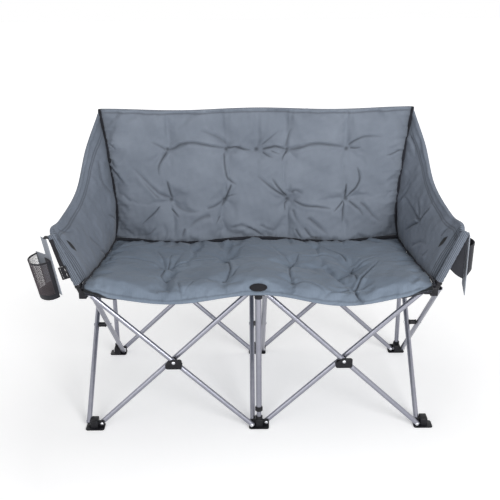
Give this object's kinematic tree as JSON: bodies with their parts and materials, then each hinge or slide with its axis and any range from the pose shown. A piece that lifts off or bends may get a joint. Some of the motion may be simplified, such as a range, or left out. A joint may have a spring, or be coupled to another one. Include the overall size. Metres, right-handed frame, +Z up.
{
  "type": "folding camping loveseat",
  "caption": "Padded folding camping bench for sitting side by side, on a scissor frame of steel tube, with a mesh cup holder and a flat pouch hanging at the arms.",
  "frame": {"origin": "middle of the front centre foot's sole", "axes": "+X to the right as seen from the front, +Y to the back, +Z up"},
  "size_m": [1.3388, 0.5648, 0.9292],
  "materials": {
    "painted_steel": "satin powder coat",
    "black_plastic": "moulded, slightly glossy",
    "grey_cloth": "padded woven polyester",
    "black_cloth": "open mesh cloth",
    "webbing": "woven tape"
  },
  "bodies": {
    "front_foot_centre": {"foot_front_centre": "black_plastic", "post_lower": "painted_steel"},
    "front_bar_left_a": {"cross_bar_front_left_a": "painted_steel", "cross_clip_front_left": "black_plastic"},
    "front_bar_left_b": {"cross_bar_front_left_b": "painted_steel"},
    "front_foot_left": {"foot_front_left": "black_plastic"},
    "front_hub_left": {"hub_front_left": "black_plastic", "arm_post_left": "painted_steel", "arm_post_cap_left": "black_plastic", "arm_sleeve_left": "grey_cloth", "strap_webbing": "webbing", "strap_buckle": "black_plastic"},
    "front_hub_centre": {"hub_front_centre": "black_plastic", "post_upper": "painted_steel", "post_ferrule": "black_plastic", "seat_plate": "black_plastic"},
    "front_bar_right_b": {"cross_bar_front_right_b": "painted_steel"},
    "front_bar_right_a": {"cross_bar_front_right_a": "painted_steel", "cross_clip_front_right": "black_plastic"},
    "front_foot_right": {"foot_front_right": "black_plastic"},
    "front_hub_right": {"hub_front_right": "black_plastic", "arm_post_right": "painted_steel", "arm_post_cap_right": "black_plastic", "arm_sleeve_right": "grey_cloth", "pouch_gusset": "black_cloth"},
    "side_bar_centre_a": {"side_bar_centre_a": "painted_steel", "side_pivot_centre": "black_plastic"},
    "side_bar_centre_b": {"side_bar_centre_b": "painted_steel"},
    "rear_foot_centre": {"foot_rear_centre": "black_plastic", "back_pole_centre": "painted_steel", "back_pad": "grey_cloth"},
    "rear_hub_centre": {"hub_rear_centre": "black_plastic"},
    "side_bar_left_a": {"side_bar_left_a": "painted_steel", "side_pivot_left": "black_plastic"},
    "side_bar_left_b": {"side_bar_left_b": "painted_steel"},
    "rear_foot_left": {"foot_rear_left": "black_plastic", "back_pole_left": "painted_steel"},
    "rear_hub_left": {"hub_rear_left": "black_plastic"},
    "side_bar_right_a": {"side_bar_right_a": "painted_steel", "side_pivot_right": "black_plastic"},
    "side_bar_right_b": {"side_bar_right_b": "painted_steel"},
    "rear_foot_right": {"foot_rear_right": "black_plastic", "back_pole_right": "painted_steel"},
    "rear_hub_right": {"hub_rear_right": "black_plastic"},
    "rear_bar_left_a": {"cross_bar_rear_left_a": "painted_steel", "cross_clip_rear_left": "black_plastic"},
    "rear_bar_left_b": {"cross_bar_rear_left_b": "painted_steel"},
    "rear_bar_right_b": {"cross_bar_rear_right_b": "painted_steel"},
    "rear_bar_right_a": {"cross_bar_rear_right_a": "painted_steel", "cross_clip_rear_right": "black_plastic"},
    "seat_front": {"seat_pad_front": "grey_cloth"},
    "seat_rear": {"seat_pad_rear": "grey_cloth"},
    "arm_left": {"arm_pad_left": "grey_cloth"},
    "arm_right": {"arm_pad_right": "grey_cloth"},
    "cup_holder": {"cup_flap": "grey_cloth", "cup_pocket": "black_cloth"},
    "pouch": {"pouch_flap": "grey_cloth", "pouch_pocket": "black_cloth"}
  },
  "joints": [
    {"name": "fold", "type": "hinge", "parent": "front_foot_centre", "child": "front_bar_left_a", "pos_m": [-0.023, -0.0105, 0.015], "axis": [0, 1, 0], "range_deg": [0, 39], "deforming": ["seat_pad_front", "seat_pad_rear", "back_pad", "arm_pad_left", "arm_pad_right"]},
    {"name": "front_bar_left_b_pivot", "type": "hinge", "parent": "front_bar_left_a", "child": "front_bar_left_b", "pos_m": [-0.262, 0, 0.242], "axis": [0, 1, 0], "range_deg": [-78, 0]},
    {"name": "front_foot_left_pivot", "type": "hinge", "parent": "front_bar_left_b", "child": "front_foot_left", "pos_m": [-0.501, 0.0105, 0.015], "axis": [0, 1, 0], "range_deg": [0, 39]},
    {"name": "front_hub_left_pivot", "type": "hinge", "parent": "front_bar_left_a", "child": "front_hub_left", "pos_m": [-0.501, -0.0105, 0.469], "axis": [0, 1, 0], "range_deg": [-39, 0]},
    {"name": "front_hub_centre_pivot", "type": "hinge", "parent": "front_bar_left_b", "child": "front_hub_centre", "pos_m": [-0.023, 0.0105, 0.469], "axis": [0, 1, 0], "range_deg": [0, 39]},
    {"name": "front_bar_right_b_pivot", "type": "hinge", "parent": "front_foot_centre", "child": "front_bar_right_b", "pos_m": [0.023, 0.0105, 0.015], "axis": [0, 1, 0], "range_deg": [-39, 0]},
    {"name": "front_bar_right_a_pivot", "type": "hinge", "parent": "front_bar_right_b", "child": "front_bar_right_a", "pos_m": [0.262, 0, 0.242], "axis": [0, 1, 0], "range_deg": [0, 78]},
    {"name": "front_foot_right_pivot", "type": "hinge", "parent": "front_bar_right_a", "child": "front_foot_right", "pos_m": [0.501, -0.0105, 0.015], "axis": [0, 1, 0], "range_deg": [-39, 0]},
    {"name": "front_hub_right_pivot", "type": "hinge", "parent": "front_bar_right_b", "child": "front_hub_right", "pos_m": [0.501, 0.0105, 0.469], "axis": [0, 1, 0], "range_deg": [0, 39]},
    {"name": "side_bar_centre_a_pivot", "type": "hinge", "parent": "front_foot_centre", "child": "side_bar_centre_a", "pos_m": [-0.02, 0.013, 0.015], "axis": [1, 0, 0], "range_deg": [0, 39]},
    {"name": "side_bar_centre_b_pivot", "type": "hinge", "parent": "side_bar_centre_a", "child": "side_bar_centre_b", "pos_m": [0, 0.252, 0.242], "axis": [1, 0, 0], "range_deg": [-78, 0]},
    {"name": "rear_foot_centre_pivot", "type": "hinge", "parent": "side_bar_centre_b", "child": "rear_foot_centre", "pos_m": [0.02, 0.491, 0.015], "axis": [1, 0, 0], "range_deg": [0, 39]},
    {"name": "rear_hub_centre_pivot", "type": "hinge", "parent": "side_bar_centre_a", "child": "rear_hub_centre", "pos_m": [-0.02, 0.491, 0.469], "axis": [1, 0, 0], "range_deg": [-39, 0]},
    {"name": "side_bar_left_a_pivot", "type": "hinge", "parent": "front_foot_left", "child": "side_bar_left_a", "pos_m": [-0.544, 0.013, 0.015], "axis": [1, 0, 0], "range_deg": [0, 39]},
    {"name": "side_bar_left_b_pivot", "type": "hinge", "parent": "side_bar_left_a", "child": "side_bar_left_b", "pos_m": [-0.524, 0.252, 0.242], "axis": [1, 0, 0], "range_deg": [-78, 0]},
    {"name": "rear_foot_left_pivot", "type": "hinge", "parent": "side_bar_left_b", "child": "rear_foot_left", "pos_m": [-0.504, 0.491, 0.015], "axis": [1, 0, 0], "range_deg": [0, 39]},
    {"name": "rear_hub_left_pivot", "type": "hinge", "parent": "side_bar_left_a", "child": "rear_hub_left", "pos_m": [-0.544, 0.491, 0.469], "axis": [1, 0, 0], "range_deg": [-39, 0]},
    {"name": "side_bar_right_a_pivot", "type": "hinge", "parent": "front_foot_right", "child": "side_bar_right_a", "pos_m": [0.504, 0.013, 0.015], "axis": [1, 0, 0], "range_deg": [0, 39]},
    {"name": "side_bar_right_b_pivot", "type": "hinge", "parent": "side_bar_right_a", "child": "side_bar_right_b", "pos_m": [0.524, 0.252, 0.242], "axis": [1, 0, 0], "range_deg": [-78, 0]},
    {"name": "rear_foot_right_pivot", "type": "hinge", "parent": "side_bar_right_b", "child": "rear_foot_right", "pos_m": [0.544, 0.491, 0.015], "axis": [1, 0, 0], "range_deg": [0, 39]},
    {"name": "rear_hub_right_pivot", "type": "hinge", "parent": "side_bar_right_a", "child": "rear_hub_right", "pos_m": [0.504, 0.491, 0.469], "axis": [1, 0, 0], "range_deg": [-39, 0]},
    {"name": "rear_bar_left_a_pivot", "type": "hinge", "parent": "rear_foot_centre", "child": "rear_bar_left_a", "pos_m": [-0.023, 0.4935, 0.015], "axis": [0, 1, 0], "range_deg": [0, 39]},
    {"name": "rear_bar_left_b_pivot", "type": "hinge", "parent": "rear_bar_left_a", "child": "rear_bar_left_b", "pos_m": [-0.262, 0.504, 0.242], "axis": [0, 1, 0], "range_deg": [-78, 0]},
    {"name": "rear_bar_right_b_pivot", "type": "hinge", "parent": "rear_foot_centre", "child": "rear_bar_right_b", "pos_m": [0.023, 0.5145, 0.015], "axis": [0, 1, 0], "range_deg": [-39, 0]},
    {"name": "rear_bar_right_a_pivot", "type": "hinge", "parent": "rear_bar_right_b", "child": "rear_bar_right_a", "pos_m": [0.262, 0.504, 0.242], "axis": [0, 1, 0], "range_deg": [0, 78]},
    {"name": "seat_front_pivot", "type": "hinge", "parent": "front_hub_centre", "child": "seat_front", "pos_m": [0, -0.036, 0.472], "axis": [1, 0, 0], "range_deg": [0, 78]},
    {"name": "seat_rear_pivot", "type": "hinge", "parent": "rear_hub_centre", "child": "seat_rear", "pos_m": [0, 0.4601, 0.4768], "axis": [1, 0, 0], "range_deg": [-78, 0]},
    {"name": "arm_left_gather", "type": "slide", "parent": "rear_foot_left", "child": "arm_left", "axis": [0, 0.8912, 0.4536], "range_m": [0, 0.4402]},
    {"name": "arm_right_gather", "type": "slide", "parent": "rear_foot_right", "child": "arm_right", "axis": [0, 0.8912, 0.4536], "range_m": [0, 0.4402]},
    {"name": "cup_holder_swing", "type": "hinge", "parent": "front_hub_left", "child": "cup_holder", "pos_m": [-0.6176, 0, 0.641], "axis": [-0.6428, 0.766, 0], "range_deg": [0, 25]},
    {"name": "pouch_swing", "type": "hinge", "parent": "front_hub_right", "child": "pouch", "pos_m": [0.6176, 0, 0.641], "axis": [-0.1736, -0.9848, 0], "range_deg": [0, 25]}
  ],
  "couplings": [
    {"joint": "front_bar_left_b_pivot", "follows": "fold", "ratio": -2},
    {"joint": "front_foot_left_pivot", "follows": "fold", "ratio": 1},
    {"joint": "front_hub_left_pivot", "follows": "fold", "ratio": -1},
    {"joint": "front_hub_centre_pivot", "follows": "fold", "ratio": 1},
    {"joint": "front_bar_right_b_pivot", "follows": "fold", "ratio": -1},
    {"joint": "front_bar_right_a_pivot", "follows": "fold", "ratio": 2},
    {"joint": "front_foot_right_pivot", "follows": "fold", "ratio": -1},
    {"joint": "front_hub_right_pivot", "follows": "fold", "ratio": 1},
    {"joint": "side_bar_centre_a_pivot", "follows": "fold", "ratio": 1},
    {"joint": "side_bar_centre_b_pivot", "follows": "fold", "ratio": -2},
    {"joint": "rear_foot_centre_pivot", "follows": "fold", "ratio": 1},
    {"joint": "rear_hub_centre_pivot", "follows": "fold", "ratio": -1},
    {"joint": "side_bar_left_a_pivot", "follows": "fold", "ratio": 1},
    {"joint": "side_bar_left_b_pivot", "follows": "fold", "ratio": -2},
    {"joint": "rear_foot_left_pivot", "follows": "fold", "ratio": 1},
    {"joint": "rear_hub_left_pivot", "follows": "fold", "ratio": -1},
    {"joint": "side_bar_right_a_pivot", "follows": "fold", "ratio": 1},
    {"joint": "side_bar_right_b_pivot", "follows": "fold", "ratio": -2},
    {"joint": "rear_foot_right_pivot", "follows": "fold", "ratio": 1},
    {"joint": "rear_hub_right_pivot", "follows": "fold", "ratio": -1},
    {"joint": "rear_bar_left_a_pivot", "follows": "fold", "ratio": 1},
    {"joint": "rear_bar_left_b_pivot", "follows": "fold", "ratio": -2},
    {"joint": "rear_bar_right_b_pivot", "follows": "fold", "ratio": -1},
    {"joint": "rear_bar_right_a_pivot", "follows": "fold", "ratio": 2},
    {"joint": "seat_front_pivot", "follows": "fold", "ratio": 2},
    {"joint": "seat_rear_pivot", "follows": "fold", "ratio": -2},
    {"joint": "arm_left_gather", "follows": "fold", "m_per_rad": 0.64659},
    {"joint": "arm_right_gather", "follows": "fold", "m_per_rad": 0.64659}
  ]
}
